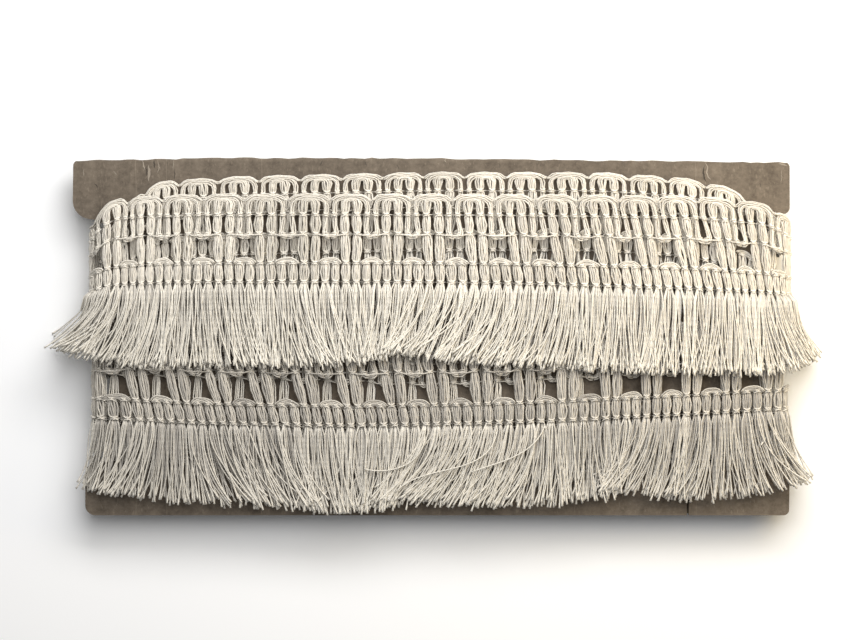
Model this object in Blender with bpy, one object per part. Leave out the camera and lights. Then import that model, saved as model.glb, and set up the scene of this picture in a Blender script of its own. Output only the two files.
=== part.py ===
"""Chainette fringe trim wound on a notched winding card.

One length of openwork heading with a cut fringe goes four times round a board card: two turns low
down, then two turns higher up, whose fringe falls over the lower turns. The card lies flat, with its
front face up, and rests on the turns behind it. Sizes are in millimetres, and MM turns them into
Blender's metres. X runs along the card, Y up its face and Z out of its front.
"""

import math
import random
from collections import namedtuple

import bmesh
import bpy
import numpy as np
from mathutils import Vector

MM = 0.001
GAP = 0.3

# The winding card
CARD_THICK = 3.0
CARD_CORNER_STEPS = 4
LEFT_NOTCH = -96.4
RIGHT_NOTCH = 101.5

# The heading, measured down from the tops of its scallops
HEADING_THICK = 2.2
HEADING_DEPTH = 26.4
REPEAT = 12.4
PAIR_WIDTH = 6.1
WINDOW_TOP = 12.6
WINDOW_BOTTOM = 19.8
SCALLOP_SHOULDER = 0.45
SCALLOP_DIP = 1.4
RAIL_THINNING = 0.6

# The fringe and the narrow footing row that holds it
FRINGE_THICK = 1.2
FOOTING = 2.0
FOOTING_GAP = 0.7
LOCK_MID_PART = 0.45
LOCK_WIDTHS = (0.86, 0.78)
LOCK_WANDER = 0.25
LOCK_UNEVEN = 0.8
EAR_TOP = -35.2
EAR_CLEAR = CARD_THICK / 2 + GAP + FRINGE_THICK / 2

# The winding: level 1 lies on the card, and level 2 on level 1
LEVEL_STEP = HEADING_THICK + GAP
FIRST_LEVEL = CARD_THICK / 2 + GAP + HEADING_THICK / 2
TURN_INSET = 0.4
LEFT = LEFT_NOTCH + TURN_INSET
RIGHT = RIGHT_NOTCH - TURN_INSET
REST_DEPTH = 8.0
TURN_STEP = math.radians(30)
LOCKS_A_QUARTER_TURN = 2
SOFTENING = 3.0

# Each lap is one side of the card, in the order of winding. The inner ones in front are covered.
LOCKS_A_REPEAT = (2, 1, 2, 3, 2, 2, 2, 3, 2)
COVERED_LAPS = (1, 5)

Station = namedtuple(
    "Station", "run x top depth lean near far hang mid tip splay"
)

# A row for each section of the course, in the order of winding. run is the side of the card or a
# turn round its edge; top is the height of the scallops and depth the heading's reach below them;
# lean moves the heading's lower edge along the course; near and far are the levels of its upper and
# lower edge; hang is the fringe's length, mid and tip the levels at its middle and end, and splay
# moves its tips along the course.
COURSE = [
    Station("back", -42.0, -0.5, 26.4, 0.0, 1.0, 1.0, 9.0, 1.0, 1.0, 0.0),
    Station("back", LEFT, 0.8, 25.8, 0.0, 1.0, 1.0, 9.0, 1.0, 1.0, 0.0),
    Station("turn", LEFT, 1.0, 25.4, 0.0, 1.0, 1.0, 9.0, 1.0, 1.0, 0.0),
    Station("front", LEFT, 1.0, 25.6, 0.0, 1.0, 1.0, 12.0, 1.0, 1.0, 0.0),
    Station("front", 0.0, -1.8, 26.4, 0.0, 1.0, 1.0, 21.0, 1.0, 1.0, 0.0),
    Station("front", RIGHT, 3.0, 25.6, 0.0, 1.0, 1.0, 12.0, 1.0, 1.0, 0.0),
    Station("turn", RIGHT, 3.0, 25.4, 0.0, 1.0, 1.0, 9.0, 1.0, 1.0, 0.0),
    Station("back", RIGHT, 2.5, 25.8, 0.0, 1.0, 1.0, 12.0, 1.0, 1.0, 0.0),
    Station("back", 90.0, 1.6, 26.0, 0.0, 1.0, 1.0, 21.0, 1.0, 1.0, 0.0),
    Station("back", 0.0, -1.0, 26.4, 0.0, 1.0, 1.0, 22.0, 1.0, 1.0, 0.0),
    Station("back", -27.0, -1.0, 26.4, 0.0, 1.0, 1.0, 22.0, 1.1, 1.3, 0.0),
    Station("back", -40.0, -1.0, 26.4, 0.0, 2.0, 2.0, 24.0, 2.5, 2.8, 1.0),
    Station("back", -70.0, -0.6, 26.4, 0.0, 2.0, 2.0, 25.0, 2.6, 2.8, -2.0),
    Station("back", LEFT, 1.0, 26.0, 0.0, 2.0, 2.0, 22.0, 2.8, 2.8, 1.0),
    Station("turn", LEFT, 1.8, 25.6, 2.0, 2.0, 2.0, 21.0, 2.3, 2.6, 0.0),
    Station("front", LEFT, 2.4, 26.4, 5.0, 2.0, 2.0, 22.5, 2.2, 2.2, -3.5),
    Station("front", -69.5, 1.0, 26.4, 7.0, 2.0, 2.0, 24.9, 2.0, 1.9, 4.5),
    Station("front", -24.5, 0.1, 26.4, 5.0, 2.0, 2.0, 26.4, 2.0, 1.9, 1.0),
    Station("front", 0.0, 0.5, 26.4, 3.0, 2.0, 2.0, 24.5, 2.1, 2.0, -6.0),
    Station("front", 20.6, 1.0, 26.4, 1.0, 2.0, 2.0, 26.0, 2.0, 1.9, -3.0),
    Station("front", 38.0, 1.6, 26.4, 0.0, 2.0, 2.0, 25.5, 2.0, 1.9, 1.0),
    Station("front", 60.0, 2.7, 26.4, 0.0, 2.0, 2.0, 22.8, 2.1, 2.1, -6.0),
    Station("front", 80.6, 3.7, 26.4, 0.0, 2.0, 2.0, 26.5, 2.0, 1.9, 0.0),
    Station("front", RIGHT, 4.4, 25.8, 0.0, 2.0, 2.0, 24.0, 2.3, 2.3, 3.5),
    Station("turn", RIGHT, 4.2, 25.4, 0.0, 2.0, 2.0, 22.0, 2.3, 2.6, 0.0),
    Station("back", RIGHT, 4.4, 25.8, 2.0, 2.0, 2.0, 23.0, 2.8, 2.8, -1.0),
    Station("back", 70.0, 9.0, 26.4, 6.0, 2.0, 2.0, 24.5, 2.5, 2.8, 2.0),
    Station("back", 45.0, 13.8, 26.4, 6.5, 2.0, 2.0, 25.0, 2.4, 2.8, -1.5),
    Station("back", 14.0, 22.0, 26.4, 6.5, 1.0, 2.15, 25.0, 2.3, 2.8, 1.0),
    Station("back", -4.0, 26.5, 26.4, 6.5, 1.0, 2.0, 25.0, 2.2, 2.8, 1.0),
    Station("back", -17.0, 29.9, 26.4, 6.5, 1.0, 1.9, 24.0, 2.1, 2.8, 1.0),
    Station("back", -23.0, 31.4, 26.4, 6.2, 1.0, 1.5, 3.4, 2.0, 2.4, 0.0),
    Station("back", -30.0, 33.0, 26.4, 6.0, 1.0, 1.0, 5.0, 1.2, 1.2, 0.0),
    Station("back", -66.0, 38.0, 25.5, 4.0, 1.0, 1.0, 8.0, 1.0, 1.0, 0.0),
    Station("back", -88.0, 36.0, 23.0, 1.0, 1.0, 1.0, 8.0, 1.0, 1.0, 0.0),
    Station("back", LEFT, 32.6, 21.0, 0.0, 1.0, 1.0, 7.0, 1.0, 1.0, 0.0),
    Station("turn", LEFT, 32.0, 20.6, 0.0, 1.0, 1.0, 7.0, 1.0, 1.0, 0.0),
    Station("front", LEFT, 32.6, 20.6, 0.0, 1.0, 1.0, 7.0, 1.0, 1.0, 0.0),
    Station("front", -90.0, 41.5, 23.0, 0.0, 1.0, 1.0, 12.0, 1.0, 1.0, 0.0),
    Station("front", -82.0, 47.0, 23.4, 0.0, 1.0, 1.0, 19.0, 1.0, 1.0, 0.0),
    Station("front", -57.8, 48.4, 23.4, 0.0, 1.0, 1.0, 22.0, 1.0, 1.0, 0.0),
    Station("front", 0.0, 49.7, 23.4, 0.0, 1.0, 1.0, 23.0, 1.0, 1.0, 0.0),
    Station("front", 50.6, 49.6, 23.4, 1.5, 1.0, 1.0, 21.0, 1.0, 1.0, 0.0),
    Station("front", 75.8, 48.0, 23.4, 2.0, 1.0, 1.0, 18.0, 1.0, 1.0, 0.0),
    Station("front", 90.0, 45.0, 23.4, 1.0, 1.0, 1.0, 14.0, 1.0, 1.0, 0.0),
    Station("front", RIGHT, 38.0, 22.4, 0.0, 1.0, 1.0, 8.0, 1.0, 1.0, 0.0),
    Station("turn", RIGHT, 34.2, 20.6, 0.0, 1.0, 1.0, 6.5, 1.0, 1.0, 0.0),
    Station("back", RIGHT, 35.2, 21.0, 0.0, 1.3, 1.3, 7.0, 1.3, 1.3, 0.0),
    Station("back", 86.0, 43.0, 23.4, 0.0, 1.6, 1.6, 10.0, 1.6, 1.6, 0.0),
    Station("back", 52.0, 46.0, 23.4, 0.0, 1.6, 1.6, 8.0, 1.6, 1.6, 0.0),
    Station("back", 36.0, 47.0, 23.4, 0.0, 1.6, 1.6, 3.4, 1.6, 1.6, 0.0),
    Station("back", 29.0, 47.1, 23.4, 0.0, 2.5, 2.5, 3.4, 2.5, 2.5, 0.0),
    Station("back", 24.0, 47.2, 23.4, 0.0, 2.6, 2.6, 22.0, 2.8, 2.8, 0.0),
    Station("back", 12.0, 47.3, 23.6, 0.0, 2.6, 2.6, 23.5, 2.8, 2.8, 1.5),
    Station("back", -20.0, 46.5, 24.6, 0.0, 2.6, 2.6, 24.0, 2.8, 2.8, -1.5),
    Station("back", -60.0, 44.5, 25.4, 0.0, 2.6, 2.6, 24.0, 2.8, 2.8, 1.0),
    Station("back", LEFT, 39.0, 23.5, 0.0, 2.6, 2.6, 22.0, 2.8, 2.8, 2.0),
    Station("turn", LEFT, 31.6, 18.2, 0.0, 2.3, 2.3, 17.0, 3.3, 6.4, 0.0),
    Station("front", LEFT, 41.6, 26.0, 0.0, 2.0, 2.0, 22.9, 2.9, 3.2, -6.5),
    Station("front", -84.5, 42.6, 26.2, 0.0, 2.1, 2.1, 25.3, 2.8, 2.9, -5.0),
    Station("front", -66.0, 43.1, 26.4, 0.0, 2.2, 2.2, 25.3, 2.8, 2.9, 0.0),
    Station("front", -30.0, 43.1, 26.4, 0.0, 2.25, 2.25, 25.3, 2.8, 2.9, 2.0),
    Station("front", -10.0, 43.1, 26.4, 0.0, 2.25, 2.25, 22.0, 2.85, 3.0, -4.0),
    Station("front", 20.0, 43.0, 26.6, 3.0, 2.25, 2.25, 24.9, 2.8, 2.9, -4.0),
    Station("front", 50.6, 42.8, 27.2, 5.0, 2.2, 2.2, 25.6, 2.8, 2.9, -1.0),
    Station("front", 80.6, 42.5, 27.9, 6.0, 2.1, 2.1, 25.6, 2.8, 2.9, 0.0),
    Station("front", RIGHT, 40.2, 26.8, 3.0, 2.0, 2.0, 24.4, 2.85, 2.9, 4.0),
    Station("turn", RIGHT, 34.0, 21.0, 0.0, 2.3, 2.3, 19.0, 3.5, 5.9, 0.0),
    Station("back", RIGHT, 39.0, 24.0, 0.0, 2.6, 2.6, 22.0, 2.8, 2.8, -2.0),
    Station("back", 80.0, 43.5, 25.6, 0.0, 2.6, 2.6, 24.0, 2.8, 2.8, 1.0),
    Station("back", 38.0, 45.8, 26.0, 0.0, 2.6, 2.6, 24.0, 2.8, 2.8, 0.0),
]


def level_height(level):
    """How far the middle of a level lies from the middle of the card."""
    return FIRST_LEVEL + (level - 1.0) * LEVEL_STEP


def lengths_along(course):
    """The distance along the course at which each station lies."""
    along = [0.0]
    for before, after in zip(course, course[1:]):
        if "turn" in (before.run, after.run):
            apex = before if before.run == "turn" else after
            step = math.pi / 2 * level_height((apex.near + apex.far) / 2)
        else:
            step = abs(after.x - before.x)
        along.append(along[-1] + step)
    return along


ALONG = lengths_along(COURSE)
LENGTH = ALONG[-1]


def section_at(s):
    """The index of the station before s, and how far s lies towards the next one, from 0 to 1."""
    s = min(max(s, 0.0), LENGTH)
    index = 0
    while index < len(ALONG) - 2 and ALONG[index + 1] < s:
        index += 1
    return index, (s - ALONG[index]) / (ALONG[index + 1] - ALONG[index])


def plain_value(name, s):
    """A column of the course's table at s, on straight lines between the stations."""
    index, part = section_at(s)
    before = getattr(COURSE[index], name)
    after = getattr(COURSE[index + 1], name)
    return before + (after - before) * part


def value(name, s):
    """The same with its corners softened, as yarn would."""
    around = (-SOFTENING, -SOFTENING / 2, 0.0, SOFTENING / 2, SOFTENING)
    return sum(plain_value(name, s + step) for step in around) / len(around)


def turn_angle(s):
    """The angle round a card edge at s, from 90 degrees in front to -90 behind, or None on a flat run."""
    index, part = section_at(s)
    before, after = COURSE[index], COURSE[index + 1]
    if "turn" not in (before.run, after.run):
        return None
    angle_of = {"front": math.pi / 2, "turn": 0.0, "back": -math.pi / 2}
    return angle_of[before.run] + (angle_of[after.run] - angle_of[before.run]) * part


def placed(s, height, out):
    """The point at s along the course, at that height on the card and that far out from its middle."""
    index, part = section_at(s)
    before, after = COURSE[index], COURSE[index + 1]
    angle = turn_angle(s)
    if angle is None:
        side = 1.0 if before.run == "front" else -1.0
        return Vector((before.x + (after.x - before.x) * part, height, side * out))
    outwards = 1.0 if before.x > 0 else -1.0
    across = before.x + outwards * out * math.cos(angle)
    return Vector((across, height, out * math.sin(angle)))


def heading_point(s, down):
    """A point of the heading's middle surface, that far down from the scallops' tops."""
    share = down / HEADING_DEPTH
    s += value("lean", s) * share
    height = value("top", s) - value("depth", s) * share
    near, far = value("near", s), value("far", s)
    return placed(s, height, level_height(near + (far - near) * share))


def lap(s):
    """Which side of the card s lies on, counted from the start of the winding."""
    index, _ = section_at(s)
    return sum(station.run == "turn" for station in COURSE[: index + 1])


def refined(columns):
    """The columns with more added between them round the card's edges."""
    found = [columns[0]]
    for before, after in zip(columns, columns[1:]):
        start, end = turn_angle(before), turn_angle(after)
        middle = turn_angle((before + after) / 2)
        steps = 1
        if not (start is None and end is None and middle is None):
            known = [angle for angle in (start, middle, end) if angle is not None]
            swing = max(known) - min(known) if len(known) == 3 else math.pi / 4
            steps = max(1, math.ceil(swing / TURN_STEP))
        found += [before + (after - before) * k / steps for k in range(1, steps + 1)]
    return found


# Where pairs lie along the course: the number of a pair, and its place in millimetres. Winding draws
# the trim out in some places and bunches it in others. The three open laps follow the photo, pair by
# pair, and the rows between them are even.
PAIR_PLACES = [
    (0, 0.0), (21, 260.4), (39, 488.3), (40, 499.7), (41, 511.5), (42, 524.6), (43, 538.3), (44, 551.7),
    (45, 565.8), (46, 579.5), (47, 593.4), (48, 606.9), (49, 620.1), (50, 633.2), (51, 645.3), (52, 657.3),
    (53, 669.1), (72, 909.1), (73, 918.5), (74, 929.4), (75, 942.0), (76, 953.8), (77, 966.5), (78, 978.8),
    (79, 991.6), (80, 1003.2), (81, 1016.0), (82, 1027.8), (83, 1040.4), (84, 1052.4), (85, 1064.5),
    (86, 1075.8), (87, 1087.5), (106, 1326.7), (107, 1336.6), (108, 1347.6), (109, 1360.1), (110, 1372.5),
    (111, 1385.8), (112, 1398.2), (113, 1410.5), (114, 1422.3), (115, 1434.6), (116, 1446.7), (117, 1459.1),
    (118, 1471.7), (119, 1483.5), (120, 1495.1), (121, 1507.3), (122, 1518.6), (128, 1594.0), (129, LENGTH),
]
PAIR_NUMBERS, PAIR_MIDDLES = zip(*PAIR_PLACES)


def settled(number):
    """The place along the course of a pair, or of a point between two pairs, given by its number."""
    return float(np.interp(number, PAIR_NUMBERS, PAIR_MIDDLES))


def phase(s):
    """Where s lies in the heading's repeat, from the middle of a pair, 0, to the middle of a window, 1."""
    offset = float(np.interp(s, PAIR_MIDDLES, PAIR_NUMBERS)) % 1.0
    return min(offset, 1.0 - offset) * 2


PAIR_PHASE = PAIR_WIDTH / REPEAT


def between(low, high, part):
    return low + (high - low) * min(max(part, 0.0), 1.0)


def scallop(s):
    """How far the top edge dips below the scallops' tops at s."""
    here = phase(s)
    if here <= PAIR_PHASE:
        return between(0.0, SCALLOP_SHOULDER, here / PAIR_PHASE)
    return between(SCALLOP_SHOULDER, SCALLOP_DIP, (here - PAIR_PHASE) / (1 - PAIR_PHASE))


def fullness(s):
    """The heading's share of its full thickness: full at a pair, thinner on the rails between."""
    beyond = (phase(s) - PAIR_PHASE) / (1 - PAIR_PHASE)
    return between(1.0, RAIL_THINNING, beyond)


def repeat_columns(start, end):
    """The heading's column places: two edges and the middle of each pair, and each window's middle."""
    found = [start, end]
    for number in range(PAIR_NUMBERS[-1]):
        found += [settled(number + part) for part in (0.0, PAIR_PHASE / 2, 0.5, 1.0 - PAIR_PHASE / 2)]
    return sorted(s for s in set(found) if start <= s <= end)


def new_object(name, bm, material):
    mesh = bpy.data.meshes.new(name)
    bmesh.ops.scale(bm, vec=Vector((MM, MM, MM)), verts=bm.verts)
    bm.normal_update()
    bm.to_mesh(mesh)
    bm.free()
    mesh.materials.append(material)
    made = bpy.data.objects.new(name, mesh)
    bpy.context.scene.collection.objects.link(made)
    return made


def solidified(made, thick):
    """A middle surface given its thickness, half to each side, thinner where its weights say."""
    layer = made.modifiers.new("Thickness", "SOLIDIFY")
    layer.thickness = thick * MM
    layer.offset = 0.0
    layer.vertex_group = "fullness"
    return made


def set_fullness(made, shares):
    group = made.vertex_groups.new(name="fullness")
    for index, share in enumerate(shares):
        group.add([index], share, "REPLACE")


def fabric(name, colour, roughness):
    made = bpy.data.materials.new(name)
    made.use_nodes = True
    shader = made.node_tree.nodes["Principled BSDF"]
    shader.inputs["Base Color"].default_value = (*colour, 1.0)
    shader.inputs["Roughness"].default_value = roughness
    shader.inputs["Metallic"].default_value = 0.0
    return made


def winding_card(material):
    """The board card: two ears at each end, with a notch between them that the trim lies in."""
    Corner = namedtuple("Corner", "x y radius")
    outline = [
        Corner(-104.0, -53.4, 3.0),
        Corner(107.4, -53.4, 1.6),
        Corner(107.6, -38.0, 3.0),
        Corner(RIGHT_NOTCH, -36.0, 1.5),
        Corner(RIGHT_NOTCH, 36.8, 1.2),
        Corner(107.6, 37.2, 1.8),
        Corner(107.6, 52.6, 1.4),
        Corner(60.0, 53.1, 0.0),
        Corner(0.0, 53.9, 0.0),
        Corner(-60.0, 54.1, 0.0),
        Corner(-107.6, 53.1, 1.4),
        Corner(-107.8, 36.4, 4.5),
        Corner(LEFT_NOTCH, 34.6, 1.2),
        Corner(LEFT_NOTCH, -36.0, 1.5),
        Corner(-104.0, -38.0, 3.0),
    ]
    bm = bmesh.new()
    floor = [bm.verts.new((c.x, c.y, -CARD_THICK / 2)) for c in outline]
    face = bm.faces.new(floor)
    grown = bmesh.ops.extrude_face_region(bm, geom=[face])
    lid = [item for item in grown["geom"] if isinstance(item, bmesh.types.BMVert)]
    bmesh.ops.translate(bm, verts=lid, vec=(0.0, 0.0, CARD_THICK))
    bmesh.ops.recalc_face_normals(bm, faces=bm.faces)
    for corner in outline:
        if not corner.radius:
            continue
        upright = [
            edge
            for edge in bm.edges
            if all(math.dist(v.co.xy, (corner.x, corner.y)) < 0.01 for v in edge.verts)
        ]
        bmesh.ops.bevel(
            bm, geom=upright, offset=corner.radius, segments=CARD_CORNER_STEPS,
            affect="EDGES", profile=0.5,
        )
    bmesh.ops.triangulate(bm, faces=[f for f in bm.faces if len(f.verts) > 4])
    return new_object("winding_card", bm, material)


def heading(material):
    """The openwork heading, wound: a middle surface with a window between each two pairs."""
    columns = refined(repeat_columns(REPEAT * 0.25, LENGTH - REPEAT * 0.25))
    bm = bmesh.new()
    shares = []
    rows = []
    for s in columns:
        downs = (scallop(s), WINDOW_TOP, WINDOW_BOTTOM, HEADING_DEPTH)
        rows.append([bm.verts.new(heading_point(s, down)) for down in downs])
        shares += [fullness(s)] * len(downs)
    for here, left, right in zip(columns, rows, rows[1:]):
        after = columns[columns.index(here) + 1]
        middle = (here + after) / 2
        is_window = phase(middle) > PAIR_PHASE and lap(middle) not in COVERED_LAPS
        for row in range(3):
            if row == 1 and is_window:
                continue
            bm.faces.new((left[row], left[row + 1], right[row + 1], right[row]))
    made = new_object("heading", bm, material)
    set_fullness(made, shares)
    return solidified(made, HEADING_THICK)


def lock_places():
    """Where the footing is parted along the course, so that a lock hangs between each two places."""
    found = [REPEAT * 0.25]
    for before, after, start, end in zip(COURSE, COURSE[1:], ALONG, ALONG[1:]):
        if "turn" in (before.run, after.run):
            count = LOCKS_A_QUARTER_TURN
            found += [start + (end - start) * k / count for k in range(1, count + 1)]
        elif after is COURSE[-1] or COURSE[COURSE.index(after) + 1].run == "turn":
            last = min(end, LENGTH - REPEAT * 0.25)
            step = REPEAT / LOCKS_A_REPEAT[lap(start)]
            count = round((last - found[-1]) / step)
            first = found[-1]
            found += [first + (last - first) * k / count for k in range(1, count + 1)]
    return found


def footing_point(s, down):
    """A point of the footing's lower edge, which already leans out to where the locks lie."""
    share = down / HEADING_DEPTH
    height = value("top", s) - value("depth", s) * share
    far = value("far", s)
    level = far + (value("mid", s) - far) * 0.75
    return placed(s + value("lean", s) * share, height, level_height(level))


def lock_line(start, end, root, rng):
    """The middles of a lock's lower two sections: where it bends and where it ends."""
    centre = (start + end) / 2 + value("lean", (start + end) / 2)
    along = placed(centre + 0.5, 0.0, 4.0) - placed(centre - 0.5, 0.0, 4.0)
    along.normalize()
    hang = value("hang", centre) - FOOTING + rng.uniform(-LOCK_UNEVEN, LOCK_UNEVEN)
    splay = value("splay", centre) + rng.uniform(-LOCK_WANDER, LOCK_WANDER)
    low = placed(centre, 0.0, level_height(value("tip", centre))).z
    is_turning = turn_angle(start + 0.01) is not None
    if is_turning and abs(low) < EAR_CLEAR + (end - start) / 2 and root.y > EAR_TOP:
        hang = min(hang, root.y - EAR_TOP)
    found = []
    for part, level in ((LOCK_MID_PART, value("mid", centre)), (1.0, value("tip", centre))):
        point = placed(centre, root.y - hang * part, level_height(level)) + along * splay * part
        found.append(point)
    return found


def fringe(material):
    """The cut fringe: a narrow footing row just under the heading, and the locks that hang from it."""
    rng = random.Random(7)
    places = lock_places()
    bm = bmesh.new()
    top_down = HEADING_DEPTH + FOOTING_GAP
    uppers = [bm.verts.new(heading_point(s, top_down)) for s in places]
    lowers = [bm.verts.new(footing_point(s, top_down + FOOTING)) for s in places]
    roots = [(left.co + right.co) / 2 for left, right in zip(lowers, lowers[1:])]
    lines = [lock_line(*ends, root, rng) for *ends, root in zip(places, places[1:], roots)]
    for index, line in enumerate(lines):
        upper = uppers[index], uppers[index + 1]
        lower = lowers[index], lowers[index + 1]
        bm.faces.new((upper[0], lower[0], lower[1], upper[1]))
        run = (lower[1].co - lower[0].co).normalized()
        beside = lines[max(index - 1, 0)], lines[min(index + 1, len(lines) - 1)]
        for section, middle in enumerate(line):
            room = [abs((middle - other[section]).dot(run)) for other in beside if other is not line]
            reach = run * min(room + [places[index + 1] - places[index]]) * LOCK_WIDTHS[section] / 2
            below = bm.verts.new(middle - reach), bm.verts.new(middle + reach)
            for vertex in below:
                vertex.co.z = max(vertex.co.z, -REST_DEPTH + FRINGE_THICK / 2)
            bm.faces.new((lower[0], below[0], below[1], lower[1]))
            lower = below
    shares = [1.0] * len(bm.verts)
    made = new_object("fringe", bm, material)
    set_fullness(made, shares)
    return solidified(made, FRINGE_THICK)


def set_on_floor(pieces):
    """Moves everything so that the origin is the middle of its footprint, on the floor."""
    bpy.context.view_layer.update()
    graph = bpy.context.evaluated_depsgraph_get()
    corners = []
    for made in pieces:
        shape = made.evaluated_get(graph)
        corners += [shape.matrix_world @ Vector(corner) for corner in shape.bound_box]
    middle = [(min(c[i] for c in corners) + max(c[i] for c in corners)) / 2 for i in range(2)]
    for made in pieces:
        made.location = (-middle[0], -middle[1], REST_DEPTH * MM)


for old in list(bpy.data.objects):
    bpy.data.objects.remove(old)
board = fabric("Grey-brown board", (0.21, 0.17, 0.125), 0.85)
yarn = fabric("Cream gimp yarn", (0.82, 0.76, 0.65), 0.7)
floss = fabric("Cream fringe yarn", (0.84, 0.79, 0.68), 0.6)
set_on_floor([winding_card(board), heading(yarn), fringe(floss)])
print("trim length", round(LENGTH), "mm, locks", len(lock_places()) - 1)
for station, along in zip(COURSE, ALONG):
    if station.run == "turn":
        print("turn", station.x, "at", round(along, 1))
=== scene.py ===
# %% [markdown]
# # A chainette fringe trim on its winding card
#
# The real object is a narrow furnishing trim, about 1.6 m of it, wound four times round a notched
# board card. The trim has an openwork heading of gimp cords and chain stitches, and a cut fringe of
# two-ply yarn below it. This lesson dresses the imported solids with that trim, yarn by yarn.
#
# The frame gives every size. It is loaded first, and the low corner of the card's box sets where all that
# is made here lies.

import math

import bmesh
import bpy
import numpy as np
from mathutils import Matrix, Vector


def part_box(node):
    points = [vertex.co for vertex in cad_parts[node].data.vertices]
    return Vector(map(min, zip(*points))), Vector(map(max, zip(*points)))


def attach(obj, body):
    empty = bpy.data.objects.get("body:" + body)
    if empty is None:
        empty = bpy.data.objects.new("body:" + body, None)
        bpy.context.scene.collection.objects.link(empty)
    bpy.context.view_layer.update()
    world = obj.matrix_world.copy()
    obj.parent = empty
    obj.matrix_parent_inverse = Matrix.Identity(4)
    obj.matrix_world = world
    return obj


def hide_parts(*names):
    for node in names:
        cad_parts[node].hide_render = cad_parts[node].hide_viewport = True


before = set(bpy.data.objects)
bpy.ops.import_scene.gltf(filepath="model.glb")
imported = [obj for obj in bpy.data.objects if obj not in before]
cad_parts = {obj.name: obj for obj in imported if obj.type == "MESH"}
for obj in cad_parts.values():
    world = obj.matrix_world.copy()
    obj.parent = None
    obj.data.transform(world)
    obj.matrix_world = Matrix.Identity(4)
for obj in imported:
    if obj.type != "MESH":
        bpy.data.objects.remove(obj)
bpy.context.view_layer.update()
bpy.ops.object.select_all(action="DESELECT")
MM = 0.001
card_low, card_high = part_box("winding_card")
CARD_CORNER = np.array([-107.8, -53.4, -1.5])
SHIFT = np.array(card_low) - CARD_CORNER * MM
print("nodes", sorted(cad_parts), "shift in mm", (SHIFT / MM).round(2))

# %% [markdown]
# ## The course of the winding
#
# The trim goes round the card in one length. Its course is a short table: one row for each place where
# something changes, in the order of winding. The sizes are those of the solids, in millimetres. The
# solids' own heading and fringe follow the same table, so each yarn lies where they are.
#
# side is 1 in front, -1 behind and 0 halfway round an edge. top is the height of the scallops and depth
# the heading's reach. lean moves the heading's lower edge along the course. near and far are the layers
# of its two edges. hang is the fringe's length, mid and tip the layers at its middle and end, and splay
# moves its tips.

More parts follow.
